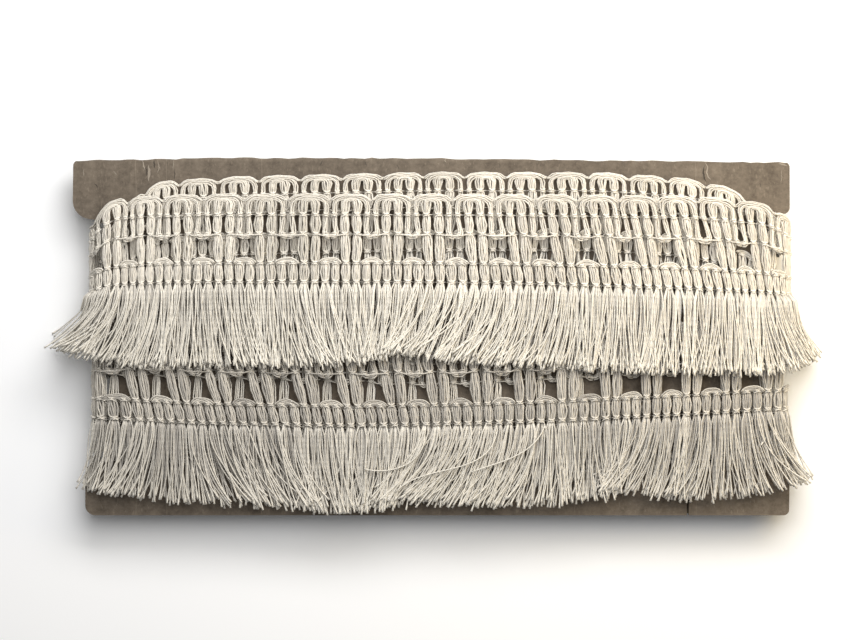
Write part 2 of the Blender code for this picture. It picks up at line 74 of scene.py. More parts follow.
# %% The course's table
COLUMNS = "side x top depth lean near far hang mid tip splay".split()
LEFT, RIGHT = -96.0, 101.1
COURSE = np.array([
    (-1, -42, -0.5, 26.4, 0, 1, 1, 9, 1, 1, 0),
    (-1, LEFT, 0.8, 25.8, 0, 1, 1, 9, 1, 1, 0),
    (0, LEFT, 1, 25.4, 0, 1, 1, 9, 1, 1, 0),
    (1, LEFT, 1, 25.6, 0, 1, 1, 12, 1, 1, 0),
    (1, 0, -1.8, 26.4, 0, 1, 1, 21, 1, 1, 0),
    (1, RIGHT, 3, 25.6, 0, 1, 1, 12, 1, 1, 0),
    (0, RIGHT, 3, 25.4, 0, 1, 1, 9, 1, 1, 0),
    (-1, RIGHT, 2.5, 25.8, 0, 1, 1, 12, 1, 1, 0),
    (-1, 90, 1.6, 26, 0, 1, 1, 21, 1, 1, 0),
    (-1, 0, -1, 26.4, 0, 1, 1, 22, 1, 1, 0),
    (-1, -27, -1, 26.4, 0, 1, 1, 22, 1.1, 1.3, 0),
    (-1, -40, -1, 26.4, 0, 2, 2, 24, 2.5, 2.8, 1),
    (-1, -70, -0.6, 26.4, 0, 2, 2, 25, 2.6, 2.8, -2),
    (-1, LEFT, 1, 26, 0, 2, 2, 22, 2.8, 2.8, 1),
    (0, LEFT, 1.8, 25.6, 2, 2, 2, 21, 2.3, 2.6, 0),
    (1, LEFT, 2.4, 26.4, 5, 2, 2, 22.5, 2.2, 2.2, -3.5),
    (1, -69.5, 1, 26.4, 7, 2, 2, 24.9, 2, 1.9, 4.5),
    (1, -24.5, 0.1, 26.4, 5, 2, 2, 26.4, 2, 1.9, 1),
    (1, 0, 0.5, 26.4, 3, 2, 2, 24.5, 2.1, 2, -6),
    (1, 20.6, 1, 26.4, 1, 2, 2, 26, 2, 1.9, -3),
    (1, 38, 1.6, 26.4, 0, 2, 2, 25.5, 2, 1.9, 1),
    (1, 60, 2.7, 26.4, 0, 2, 2, 22.8, 2.1, 2.1, -6),
    (1, 80.6, 3.7, 26.4, 0, 2, 2, 26.5, 2, 1.9, 0),
    (1, RIGHT, 4.4, 25.8, 0, 2, 2, 24, 2.3, 2.3, 3.5),
    (0, RIGHT, 4.2, 25.4, 0, 2, 2, 22, 2.3, 2.6, 0),
    (-1, RIGHT, 4.4, 25.8, 2, 2, 2, 23, 2.8, 2.8, -1),
    (-1, 70, 9, 26.4, 6, 2, 2, 24.5, 2.5, 2.8, 2),
    (-1, 45, 13.8, 26.4, 6.5, 2, 2, 25, 2.4, 2.8, -1.5),
    (-1, 14, 22, 26.4, 6.5, 1, 2.15, 25, 2.3, 2.8, 1),
    (-1, -4, 26.5, 26.4, 6.5, 1, 2, 25, 2.2, 2.8, 1),
    (-1, -17, 29.9, 26.4, 6.5, 1, 1.9, 24, 2.1, 2.8, 1),
    (-1, -23, 31.4, 26.4, 6.2, 1, 1.5, 3.4, 2, 2.4, 0),
    (-1, -30, 33, 26.4, 6, 1, 1, 5, 1.2, 1.2, 0),
    (-1, -66, 38, 25.5, 4, 1, 1, 8, 1, 1, 0),
    (-1, -88, 36, 23, 1, 1, 1, 8, 1, 1, 0),
    (-1, LEFT, 32.6, 21, 0, 1, 1, 7, 1, 1, 0),
    (0, LEFT, 32, 20.6, 0, 1, 1, 7, 1, 1, 0),
    (1, LEFT, 32.6, 20.6, 0, 1, 1, 7, 1, 1, 0),
    (1, -90, 41.5, 23, 0, 1, 1, 12, 1, 1, 0),
    (1, -82, 47, 23.4, 0, 1, 1, 19, 1, 1, 0),
    (1, -57.8, 48.4, 23.4, 0, 1, 1, 22, 1, 1, 0),
    (1, 0, 49.7, 23.4, 0, 1, 1, 23, 1, 1, 0),
    (1, 50.6, 49.6, 23.4, 1.5, 1, 1, 21, 1, 1, 0),
    (1, 75.8, 48, 23.4, 2, 1, 1, 18, 1, 1, 0),
    (1, 90, 45, 23.4, 1, 1, 1, 14, 1, 1, 0),
    (1, RIGHT, 38, 22.4, 0, 1, 1, 8, 1, 1, 0),
    (0, RIGHT, 34.2, 20.6, 0, 1, 1, 6.5, 1, 1, 0),
    (-1, RIGHT, 35.2, 21, 0, 1.3, 1.3, 7, 1.3, 1.3, 0),
    (-1, 86, 43, 23.4, 0, 1.6, 1.6, 10, 1.6, 1.6, 0),
    (-1, 52, 46, 23.4, 0, 1.6, 1.6, 8, 1.6, 1.6, 0),
    (-1, 36, 47, 23.4, 0, 1.6, 1.6, 3.4, 1.6, 1.6, 0),
    (-1, 29, 47.1, 23.4, 0, 2.5, 2.5, 3.4, 2.5, 2.5, 0),
    (-1, 24, 47.2, 23.4, 0, 2.6, 2.6, 22, 2.8, 2.8, 0),
    (-1, 12, 47.3, 23.6, 0, 2.6, 2.6, 23.5, 2.8, 2.8, 1.5),
    (-1, -20, 46.5, 24.6, 0, 2.6, 2.6, 24, 2.8, 2.8, -1.5),
    (-1, -60, 44.5, 25.4, 0, 2.6, 2.6, 24, 2.8, 2.8, 1),
    (-1, LEFT, 39, 23.5, 0, 2.6, 2.6, 22, 2.8, 2.8, 2),
    (0, LEFT, 31.6, 18.2, 0, 2.3, 2.3, 17, 3.3, 6.4, 0),
    (1, LEFT, 41.6, 26, 0, 2, 2, 22.9, 2.9, 3.2, -6.5),
    (1, -84.5, 42.6, 26.2, 0, 2.1, 2.1, 25.3, 2.8, 2.9, -5),
    (1, -66, 43.1, 26.4, 0, 2.2, 2.2, 25.3, 2.8, 2.9, 0),
    (1, -30, 43.1, 26.4, 0, 2.25, 2.25, 25.3, 2.8, 2.9, 2),
    (1, -10, 43.1, 26.4, 0, 2.25, 2.25, 22, 2.85, 3, -4),
    (1, 20, 43, 26.6, 3, 2.25, 2.25, 24.9, 2.8, 2.9, -4),
    (1, 50.6, 42.8, 27.2, 5, 2.2, 2.2, 25.6, 2.8, 2.9, -1),
    (1, 80.6, 42.5, 27.9, 6, 2.1, 2.1, 25.6, 2.8, 2.9, 0),
    (1, RIGHT, 40.2, 26.8, 3, 2, 2, 24.4, 2.85, 2.9, 4),
    (0, RIGHT, 34, 21, 0, 2.3, 2.3, 19, 3.5, 5.9, 0),
    (-1, RIGHT, 39, 24, 0, 2.6, 2.6, 22, 2.8, 2.8, -2),
    (-1, 80, 43.5, 25.6, 0, 2.6, 2.6, 24, 2.8, 2.8, 1),
    (-1, 38, 45.8, 26, 0, 2.6, 2.6, 24, 2.8, 2.8, 0),
])
COURSE = dict(zip(COLUMNS, COURSE.T))
CARD_THICK = 3.0
LAYER = 2.5
FIRST_LAYER = 2.9
HEADING_DEPTH = 26.4
SOFTENING = np.array([-3.0, -1.5, 0.0, 1.5, 3.0])


def layer_height(layer):
    """How far the middle of a layer of trim lies from the middle of the card."""
    return FIRST_LAYER + (layer - 1.0) * LAYER


def lengths_along():
    """The distance along the course at which each row of the table lies."""
    found = [0.0]
    for row in range(len(COURSE["x"]) - 1):
        sides = COURSE["side"][row], COURSE["side"][row + 1]
        apex = row if sides[0] == 0 else row + 1
        if 0 in sides:
            layer = (COURSE["near"][apex] + COURSE["far"][apex]) / 2
            found.append(found[-1] + math.pi / 2 * layer_height(layer))
        else:
            found.append(found[-1] + abs(COURSE["x"][row + 1] - COURSE["x"][row]))
    return np.array(found)


ALONG = lengths_along()
LENGTH = ALONG[-1]
TURNS = ALONG[COURSE["side"] == 0]
print("trim length", round(LENGTH), "mm, turns at", TURNS.round())

# %% [markdown]
# ## From the flat trim to the card
#
# The trim is designed flat, as it would lie on a table, with three numbers for each point: s along it,
# down from its scallops, and lift out of its face. Winding draws the trim out in some places and bunches
# it in others, so a second short table says where the pairs of its pattern come to lie. On the open turns
# the solids have them at the same places. One function then puts flat points on the card, flat on its
# sides and round its edges. It works on whole arrays, so thousands of yarns need no loop.

# %% Put flat points on the card


def value(name, s):
    """A column of the course's table at s, with its corners softened."""
    return sum(np.interp(s + step, ALONG, COURSE[name]) for step in SOFTENING) / len(SOFTENING)


def on_card(s, height, out):
    """Points at s, at that height on the card and that far out from its middle, and the way outwards."""
    side = np.interp(s, ALONG, COURSE["side"])
    x = np.interp(s, ALONG, COURSE["x"])
    angle = side * math.pi / 2
    outwards = np.stack([np.sign(x) * np.cos(angle), np.zeros_like(s), np.sin(angle)], axis=-1)
    middle = np.stack([x, height, np.zeros_like(s)], axis=-1)
    return middle + outwards * np.asarray(out)[..., None], outwards


REPEAT = 12.4
DRAWN_UP = 1.3
DRAWN_TO, DRAWN_OVER = 20.4, 8.4
TURN_REACH = 12.0
# Where pairs lie along the course, in runs: the number of a run's first pair, and the places of its
# pairs. The pairs between two runs are spread evenly.
PAIR_RUNS = {
    0: [0.0],
    5: [62.0, 74.9, 87.2, 99.5, 112.9, 126.0, 139.2, 151.5, 163.8, 176.9, 190.1, 201.8],
    21: [260.4],
    39: [488.3, 499.7, 511.5, 524.6, 538.3, 551.7, 565.8, 579.5, 593.4, 606.9, 620.1, 633.2, 645.3, 657.3,
         669.1],
    72: [909.1, 918.5, 929.4, 942.0, 953.8, 966.5, 978.8, 991.6, 1003.2, 1016.0, 1027.8, 1040.4, 1052.4,
         1064.5, 1075.8, 1087.5],
    106: [1326.7, 1336.6, 1347.6, 1360.1, 1372.5, 1385.8, 1398.2, 1410.5, 1422.3, 1434.6, 1446.7, 1459.1,
          1471.7, 1483.5, 1495.1, 1507.3, 1518.6],
    128: [1594.0, LENGTH],
}
PAIR_PLACES = np.array([
    (first + k, place) for first, run in PAIR_RUNS.items() for k, place in enumerate(run)
])


def settled(s):
    """Where places along the flat trim, one pair to each 12.4 mm, come to lie along the course."""
    return np.interp(s / REPEAT, *PAIR_PLACES.T)


def on_heading(s, down, lift):
    """Points of the heading, given flat, put on the card. The lower turn in front is drawn up a little."""
    s = settled(s)
    in_lower = np.clip(np.minimum(s - TURNS[2], TURNS[3] - s) / TURN_REACH - 0.4, 0, 1)
    down = down - DRAWN_UP * in_lower * np.clip((DRAWN_TO - down) / DRAWN_OVER, 0, 1)
    share = down / HEADING_DEPTH
    s = s + value("lean", s) * share
    height = value("top", s) - value("depth", s) * share
    near, far = value("near", s), value("far", s)
    return on_card(s, height, layer_height(near + (far - near) * share) + lift)


middle, outwards = on_heading(np.array([200.0]), np.array([0.0]), np.array([0.0]))
print("a point of the first front lap", middle.round(1))

# %% [markdown]
# ## A strand is a tube along a path
#
# Every cord, yarn and thread is a thin closed tube. Many small things are made as joined meshes from
# arrays, so one function turns a whole set of paths into tubes at once and adds them to a store. Each
# tube gets a UV map, with the length along it and the way round it, which carries the twist of its plies
# later, and each strand a tint of its own.

# %% Make tubes from paths


def new_store():
    return {"points": [], "corners": [], "sizes": [], "uvs": [], "tints": [], "count": 0}


def add_strands(store, paths, hints, radius, sides, tints):
    """Adds a closed tube of that radius for each path, with one tint each or one for each of its points."""
    many, steps, _ = paths.shape
    ahead = np.gradient(paths, axis=1)
    ahead /= np.linalg.norm(ahead, axis=2, keepdims=True)
    up = hints - (hints * ahead).sum(2, keepdims=True) * ahead
    up /= np.linalg.norm(up, axis=2, keepdims=True)
    beside = np.cross(ahead, up)
    angle = np.arange(sides) * 2 * math.pi / sides
    ring = up[:, :, None] * np.cos(angle)[:, None] + beside[:, :, None] * np.sin(angle)[:, None]
    radius = np.broadcast_to(radius, (many, steps))
    points = paths[:, :, None] + ring * radius[:, :, None, None]
    index = np.arange(many * steps * sides).reshape(many, steps, sides) + store["count"]
    after = np.roll(index, -1, axis=2)
    walls = np.stack([index[:, :-1], after[:, :-1], after[:, 1:], index[:, 1:]], axis=-1)
    step = np.linalg.norm(np.diff(paths, axis=1), axis=2)
    length = np.concatenate([np.zeros((many, 1)), np.cumsum(step, axis=1)], axis=1)
    u = np.broadcast_to(length[:, :, None], (many, steps, sides))
    u = np.stack([u[:, :-1], u[:, :-1], u[:, 1:], u[:, 1:]], axis=-1)
    v = np.arange(sides) / sides
    v = np.broadcast_to(np.stack([v, v + 1 / sides, v + 1 / sides, v], axis=-1), walls.shape)
    store["points"].append(points.reshape(-1, 3))
    store["corners"] += [walls.ravel(), index[:, 0, ::-1].ravel(), index[:, -1].ravel()]
    store["sizes"] += [np.full(walls.size // 4, 4), np.full(many * 2, sides)]
    caps = np.zeros((many * 2 * sides, 2))
    store["uvs"] += [np.stack([u, v], axis=-1).reshape(-1, 2), caps]
    store["tints"].append(np.repeat(np.broadcast_to(tints.reshape(many, -1), (many, steps)), sides))
    store["count"] += points.size // 3


def new_object(name, data):
    made = bpy.data.objects.new(name, data)
    bpy.context.scene.collection.objects.link(made)
    return made


def strand_piece(name, store, material):
    """Makes the store's tubes one mesh object. What would go below the floor is set down on it."""
    corners, sizes = np.concatenate(store["corners"]), np.concatenate(store["sizes"])
    points = np.concatenate(store["points"]) * MM + SHIFT
    points[:, 2] = np.maximum(points[:, 2], 0.0)
    mesh = bpy.data.meshes.new(name)
    mesh.vertices.add(len(points))
    mesh.vertices.foreach_set("co", points.ravel())
    mesh.loops.add(len(corners))
    mesh.loops.foreach_set("vertex_index", corners.astype(np.int32))
    mesh.polygons.add(len(sizes))
    mesh.polygons.foreach_set("loop_start", (np.cumsum(sizes) - sizes).astype(np.int32))
    mesh.update(calc_edges=True)
    mesh.uv_layers.new(name="Along").data.foreach_set("uv", np.concatenate(store["uvs"]).ravel())
    tint = mesh.attributes.new("tint", "FLOAT", "POINT")
    tint.data.foreach_set("value", np.concatenate(store["tints"]))
    mesh.shade_smooth()
    mesh.materials.append(material)
    made = new_object(name, mesh)
    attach(made, "root")
    triangles = int((sizes - 2).sum())
    print(f"{name}: {triangles} triangles, lowest {points[:, 2].min() / MM:.2f} mm")
    return made


# %% [markdown]
# ## Yarn materials
#
# The yarn is a soft, slightly lustrous cream. Its plies twist round each other, so the sine of the
# length along a strand plus the way round it gives slanting ridges, which drive the bump and darken the
# grooves a little as painted shade. Each strand has its own tint, and a slow noise lightens or darkens the
# whole a little. The lowest tints give a darker grey, which is painted shade: the lower turn in front has
# them, for the shadow that the upper turn's fringe casts on it.

# %% Nodes for the yarn
# The darkest stop of the yarns' colours is painted shade, reached by the darkest tints.
PAINTED_SHADE_GREY = (0.40, 0.375, 0.335)
PLIES = 2


def new_material(name):
    made = bpy.data.materials.new(name)
    made.use_nodes = True
    return made, made.node_tree, made.node_tree.nodes["Principled BSDF"]


def add_node(tree, kind, **settings):
    node = tree.nodes.new(kind)
    for key, setting in settings.items():
        if key in node.inputs:
            node.inputs[key].default_value = setting
        else:
            setattr(node, key, setting)
    return node


def math_node(tree, operation, *sources):
    """A Math node, with numbers or other nodes' outputs at its inputs. Gives its output."""
    node = add_node(tree, "ShaderNodeMath", operation=operation)
    for slot, source in enumerate(sources):
        if isinstance(source, (int, float)):
            node.inputs[slot].default_value = source
        else:
            tree.links.new(source, node.inputs[slot])
    return node.outputs[0]


def noise_node(tree, place, **settings):
    """Noise at a place, which is always in the object's own coordinates. Gives its strength."""
    node = add_node(tree, "ShaderNodeTexNoise", **settings)
    tree.links.new(place, node.inputs["Vector"])
    return node.outputs["Fac"]


def object_place(tree):
    return add_node(tree, "ShaderNodeTexCoord").outputs["Object"]


def colour_by(tree, shader, tone, stops):
    """Colours the shader by a tone, with the colours that those stops give."""
    ramp = add_node(tree, "ShaderNodeValToRGB")
    while len(ramp.color_ramp.elements) < len(stops):
        ramp.color_ramp.elements.new(0.5)
    for element, (position, colour) in zip(ramp.color_ramp.elements, stops):
        element.position = position
        element.color = (*colour, 1.0)
    tree.links.new(tone, ramp.inputs["Fac"])
    tree.links.new(ramp.outputs["Color"], shader.inputs["Base Color"])


def bump_by(tree, shader, height, strength, distance):
    bump = add_node(tree, "ShaderNodeBump", Strength=strength, Distance=distance)
    tree.links.new(height, bump.inputs["Height"])
    tree.links.new(bump.outputs["Normal"], shader.inputs["Normal"])


def plied_yarn(name, dark, light, pitch, rough, sheen, depth):
    """A twisted yarn: its plies' ridges slant along the strand's own UV map."""
    made, tree, shader = new_material(name)
    uv = add_node(tree, "ShaderNodeUVMap", uv_map="Along")
    parts = add_node(tree, "ShaderNodeSeparateXYZ")
    tree.links.new(uv.outputs["UV"], parts.inputs[0])
    along = math_node(tree, "MULTIPLY", parts.outputs["X"], 2 * math.pi / pitch)
    around = math_node(tree, "MULTIPLY_ADD", parts.outputs["Y"], PLIES * 2 * math.pi, along)
    ridges = math_node(tree, "SINE", around)
    bump_by(tree, shader, ridges, 0.35, depth)
    tint = add_node(tree, "ShaderNodeAttribute", attribute_name="tint").outputs["Fac"]
    noise = noise_node(tree, object_place(tree), Scale=45.0, Detail=3.0)
    tone = math_node(tree, "MULTIPLY_ADD", noise, 0.35, tint)
    # The ridges darken the grooves between the plies a little: painted shade.
    tone = math_node(tree, "MULTIPLY_ADD", ridges, 0.05, tone)
    colour_by(tree, shader, tone, [(0.0, PAINTED_SHADE_GREY), (0.45, dark), (1.0, light)])
    shader.inputs["Roughness"].default_value = rough
    shader.inputs["Sheen Weight"].default_value = sheen
    shader.inputs["Sheen Roughness"].default_value = 0.4
    shader.inputs["Specular IOR Level"].default_value = 0.45
    return made


gimp_yarn = plied_yarn("Gimp yarn", (0.64, 0.60, 0.525), (0.83, 0.785, 0.70), 2.0, 0.55, 0.2, 0.00006)
loop_cord = plied_yarn("Loop cord", (0.66, 0.62, 0.545), (0.85, 0.805, 0.72), 1.2, 0.55, 0.2, 0.00006)
binding_thread = plied_yarn(
    "Binding thread", (0.70, 0.66, 0.585), (0.88, 0.835, 0.75), 0.8, 0.55, 0.15, 0.00003
)
fringe_yarn = plied_yarn("Fringe yarn", (0.66, 0.625, 0.555), (0.84, 0.80, 0.71), 1.6, 0.45, 0.2, 0.00005)
print("materials", [made.name for made in (gimp_yarn, loop_cord, binding_thread, fringe_yarn)])

# %% [markdown]
# ## The flat pattern
#
# One repeat of the trim is 12.4 mm long and holds four thick bundles of floss, 3.1 mm apart. Two of them,
# the pair, run the whole height of the heading and turn over into each other under the scallop. The other
# two are short, and turn over into each other below the window. Finer cords arch over the pair and go down
# to a loop between two pairs. Four rows of chain stitch tie all of it.
#
# Each bundle is spindle-shaped: it is drawn in at each chain row and swells between them.

# %% Sizes of the pattern
SPACING = 3.1
END_MARGIN = 5.0
ROWS = np.array([6.3, 12.0, 20.7, 26.4])
PINCH = 0.58
SWELLS = np.array([0.62, 0.52, 0.56, 0.46])
PAIR_OPEN = 0.28
FRONT_FLOSS = [(-1.06, 0.12), (-0.55, 0.42), (0.0, 0.55), (0.55, 0.42), (1.06, 0.12)]
BACK_FLOSS = [(-0.7, -0.42), (0.0, -0.52), (0.7, -0.42)]
FLOSS_RADIUS = 0.28
# How much darker the lower turn in front is: painted shade for the upper turn's fringe above it.
LOWER_TURN_PAINTED_SHADE = 0.46
LOWER_FRONT = 3
rng = np.random.default_rng(4)


def swell(down):
    """How wide a bundle is at each height, as a share of its full width."""
    edges = np.array([0.0, *ROWS])
    which = np.clip(np.searchsorted(edges, down, side="right") - 1, 0, 3)
    part = np.clip((down - edges[which]) / (ROWS[which] - edges[which]), 0, 1)
    part = np.where(which == 0, 0.5 + part / 2, part)
    return PINCH + SWELLS[which] * np.sqrt(np.sin(math.pi * part).clip(0))


def centres_of(laps, offset, apart=REPEAT):
    """The places along the flat trim, in those laps, of a feature that comes once in each repeat."""
    places = np.arange(0, PAIR_PLACES[-1, 0] * REPEAT, apart) + offset
    places = places[(settled(places) > END_MARGIN) & (settled(places) < LENGTH - END_MARGIN)]
    return places[np.isin(np.searchsorted(TURNS, settled(places)), laps)]


def opened(down):
    """How much further from the pair's middle its legs lie, in the upper part of the heading."""
    return PAIR_OPEN * np.clip((ROWS[2] - down) / 5.0, 0, 1)


def tints_of(places, low, high):
    """A tint for each strand. The lower turn in front is darker, as painted shade."""
    is_lower = np.searchsorted(TURNS, settled(places)) == LOWER_FRONT
    return rng.uniform(low, high, len(places)) - LOWER_TURN_PAINTED_SHADE * is_lower


print("pairs in the whole trim:", len(centres_of(range(9), 0.0)))

# %% [markdown]
# ## Hairpins of floss
#
# The pair and the short bundles are both hairpins: eight yarns, or six on the covered laps, go up one leg,
# over in an arch and down the other. The outer yarns have the widest arch. Each yarn wanders a little from
# its place, as floss does, and is thinner where the chain rows press it. The laps that lie open get more
# points to each yarn than the ones they cover.

# %% Model the hairpins


def hairpins(store, centres, legs, arch_down, arch_height, sides, floss):
    """Adds a hairpin of those yarns round each centre, with its legs given from the foot up."""
    many = len(centres)
    turn = np.linspace(0, math.pi, 7)[1:-1]
    width = swell(legs)
    aside = SPACING / 2 + opened(legs)
    for across, lift in floss:
        leg = across * width
        half = aside[-1] - leg[-1]
        rise = arch_height * (SPACING / 2 - across * 0.9) / (SPACING / 2 + 0.9)
        s = np.concatenate([leg - aside, -half * np.cos(turn), (aside - leg)[::-1]])
        down = np.concatenate([legs, arch_down - rise * np.sin(turn), legs[::-1]])
        height = np.concatenate([lift * width, np.full(len(turn), lift * 0.8), (lift * width)[::-1]])
        loose = np.concatenate([width - PINCH, np.full(len(turn), 0.3), (width - PINCH)[::-1]])
        phase = rng.uniform(0, 2 * math.pi, (4, many, 1))
        wander = np.sin(down * 0.55 + phase[0]) + np.sin(down * 1.1 + phase[1])
        ripple = np.sin(down * 0.7 + phase[2]) + np.sin(down * 1.3 + phase[3])
        s = centres[:, None] + s + wander * loose * 0.3
        height = height + ripple * loose * 0.22
        points, outwards = on_heading(s, np.broadcast_to(down, s.shape), height)
        around = sides if lift > 0 else 3
        radius = FLOSS_RADIUS * (0.85 + 0.5 * loose)
        add_strands(store, points, outwards, radius, around, tints_of(centres, 0.2, 0.65))


# How far down each leg's points lie, from its foot up to where the arch begins
OPEN_LEG = np.array([
    27.0, 26.4, 25.4, 23.5, 21.7, 20.7, 19.4, 16.8, 14.0, 12.6, 12.0, 11.2, 9.2, 7.0, 6.3, 5.0, 3.2
])
CLOSE_LEG = np.array([27.0, 26.4, 23.5, 20.7, 18.6, 14.2, 12.0, 9.2, 6.3, 3.2])
OPEN_SHORT = np.array([27.0, 26.4, 25.4, 23.5, 21.9, 21.2])
CLOSE_SHORT = np.array([27.0, 26.4, 23.6, 21.3])


def make_floss(name, laps, is_open):
    store = new_store()
    legs, shorts, sides = (OPEN_LEG, OPEN_SHORT, 4) if is_open else (CLOSE_LEG, CLOSE_SHORT, 3)
    floss = FRONT_FLOSS + (BACK_FLOSS if is_open else BACK_FLOSS[1:2])
    hairpins(store, centres_of(laps, 0.0), legs, 2.7, 1.6, sides, floss)
    hairpins(store, centres_of(laps, REPEAT / 2), shorts, 20.9, 1.4, sides, floss)
    return strand_piece(name, store, gimp_yarn)


floss = [
    make_floss("floss_covered", [0, 1, 2, 4], False),
    make_floss("floss_lower", [LOWER_FRONT, 6], True),
    make_floss("floss_upper", [5, 7], True),
    make_floss("floss_end", [8], True),
]

# %% [markdown]
# ## Scallops and loops of cord
#
# Three fine cords run side by side. They arch over each pair, go down between two pairs, and turn back in
# a flat loop on the second chain row. Two more cords lie on the scalloped edge itself and run on from one
# arch to the next, which makes the wavy selvedge. One crosses from one pair to the next, along the top of
# the window, and three short ones lie in an arch over each pair of short bundles, below it.

# %% Model the cords
CORD_RADIUS = 0.26
HALF_LOOP = np.array([
    (-6.2, 12.95), (-5.2, 12.85), (-4.6, 12.4), (-4.45, 11.5), (-4.7, 9.6), (-4.85, 7.6), (-4.9, 6.3),
    (-4.95, 5.3), (-4.95, 3.7), (-4.6, 2.4), (-3.6, 1.55), (-2.0, 1.15), (-0.6, 1.0)
])
HALF_BAR = np.array([(-4.3, 12.05), (-3.6, 12.3), (-2.2, 12.5), (-0.7, 12.55)])
HALF_EDGE = np.array([
    (-6.2, 1.9), (-5.6, 1.85), (-5.1, 1.45), (-4.4, 0.95), (-3.2, 0.6), (-1.6, 0.46), (-0.5, 0.42)
])
HALF_CAP = np.array([(-3.1, 21.0), (-2.7, 20.5), (-2.0, 20.05), (-1.2, 19.75), (-0.4, 19.6)])


def cords(store, centres, half, offsets, lifts, sides, radius):
    """Adds cords that lie side by side along a path given by its left half."""
    path = np.concatenate([half, half[::-1] * [-1, 1]])
    ahead = np.gradient(path, axis=0)
    ahead /= np.linalg.norm(ahead, axis=1, keepdims=True)
    beside = np.stack([ahead[:, 1], -ahead[:, 0]], axis=1)
    drawn_in = 1 - 0.3 * np.exp(-((path[:, 1] - ROWS[0]) ** 2) / 0.8)
    for offset, lift in zip(offsets, lifts):
        line = path + beside * (offset * drawn_in)[:, None]
        phase = rng.uniform(0, 2 * math.pi, (len(centres), 1))
        s = centres[:, None] + line[:, 0] + 0.14 * np.sin(0.9 * path[:, 1] + phase)
        height = lift + 0.3 * np.clip((4.5 - path[:, 1]) / 3, 0, 1) + 0.06 * np.sin(2 * path[:, 1] + phase)
        height += 0.5 * np.clip((path[:, 1] - 10.5) / 2, 0, 1) * (path[:, 1] < 15)
        down = line[:, 1] + 0.1 * np.sin(1.4 * path[:, 0] + 2 * phase)
        points, outwards = on_heading(s, down, height)
        add_strands(store, points, outwards, radius, sides, tints_of(centres, 0.25, 0.65))


def make_cords(name, laps, sides):
    store = new_store()
    pairs = centres_of(laps, 0.0)
    cords(store, pairs, HALF_LOOP, (-0.5, 0.0, 0.5), (0.0, 0.2, 0.05), sides, CORD_RADIUS)
    cords(store, pairs, HALF_EDGE, (-0.2, 0.2), (0.35, 0.15), sides, 0.22)
    shorts = centres_of(laps, REPEAT / 2)
    cords(store, shorts, HALF_CAP, (-0.4, 0.0, 0.4), (0.5, 0.7, 0.8), sides, 0.25)
    cords(store, shorts, HALF_BAR, (0.0,), (0.4,), sides, 0.22)
    return strand_piece(name, store, loop_cord)


loops = [make_cords("cords_covered", [0, 1, 2, 4, 6], 3), make_cords("cords_open", [3, 5, 7, 8], 4)]

# %% [markdown]
# ## Chain rows
#
# A chain row ties each bundle with fine thread. Seen from the front it is one small knot on each bundle:
# two threads that part over it and meet again in the gap, and two tight turns round the bundle that cross
# in front and draw it in. Covered laps have one turn.

# %% Model the chain rows
THREAD_RADIUS = 0.22
# For each point of a stitch: its place between two gaps, how far the threads part, how far out they lie
# and how thick they are there
STITCH = np.array([
    (0.0, 0.05, -1.4, 0.03), (0.27, 0.12, 0.2, 0.14), (0.5, 0.34, 0.9, 0.29), (0.73, 0.12, 0.2, 0.14)
])


def moved_aside(places, row):
    """How far the bundles and legs at those places of one row lie from their even spacing."""
    kind = np.floor(places / SPACING).astype(int) % 4
    return opened(row) * np.choose(kind, (1, 1, -1, -1))


def chain_row(store, row, laps, sides):
    """The two threads that run on from bundle to bundle, along one row."""
    bundles = centres_of(laps, SPACING / 2, SPACING)
    part, parted, out, thick = STITCH.T
    for run in np.split(bundles, np.nonzero(np.diff(bundles) > SPACING * 1.5)[0] + 1):
        for hand in (-1, 1):
            s = (run + moved_aside(run, row))[:, None] + (part - 0.5) * SPACING
            uneven = rng.uniform(-0.12, 0.12, (len(part), len(run))).T
            down = row + hand * parted + uneven
            lift, radius = (np.tile(x, len(run))[None] for x in (out, thick))
            points, outwards = on_heading(s.reshape(1, -1), down.reshape(1, -1), lift)
            add_strands(store, points, outwards, radius, sides, tints_of(run[:1], 0.5, 0.6))


def ties(store, row, laps, slant, steps):
    """One tight turn of thread round each bundle or leg that crosses a row."""
    places = centres_of(laps, SPACING / 2, SPACING)
    kind = np.floor(places / SPACING).astype(int) % 4
    between = (kind == 1) | (kind == 2)
    if row == ROWS[1]:
        places, between = places[~between], between[~between]
    slim = (between & (row == ROWS[0]))[:, None]
    angle = np.linspace(-0.8 * math.pi, 0.8 * math.pi, steps)
    s = (places + moved_aside(places, row))[:, None] + np.where(slim, 0.7, 0.95) * np.sin(angle)
    lift = np.where(slim, 0.48, 0.76) * np.cos(angle) + 0.05
    down = row + (slant + rng.uniform(-0.2, 0.2, (len(places), 1))) * np.sin(angle)
    points, _ = on_heading(s, down, lift)
    above, _ = on_heading(s, down - 0.5, lift)
    add_strands(store, points, above - points, THREAD_RADIUS, 3, tints_of(places, 0.6, 0.85))


def make_chains(name, laps, sides, slants):
    store = new_store()
    for row in ROWS:
        chain_row(store, row, laps, sides)
        for slant in slants:
            ties(store, row, laps, slant, 2 * sides)
    return strand_piece(name, store, binding_thread)


chains = [
    make_chains("chains_covered", [0, 1, 2, 4, 6], 3, (0.0,)),
    make_chains("chains_open", [3, 5, 7, 8], 4, (-0.65, 0.6)),
]
for piece in [*floss, *loops, *chains]:
    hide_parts("heading")
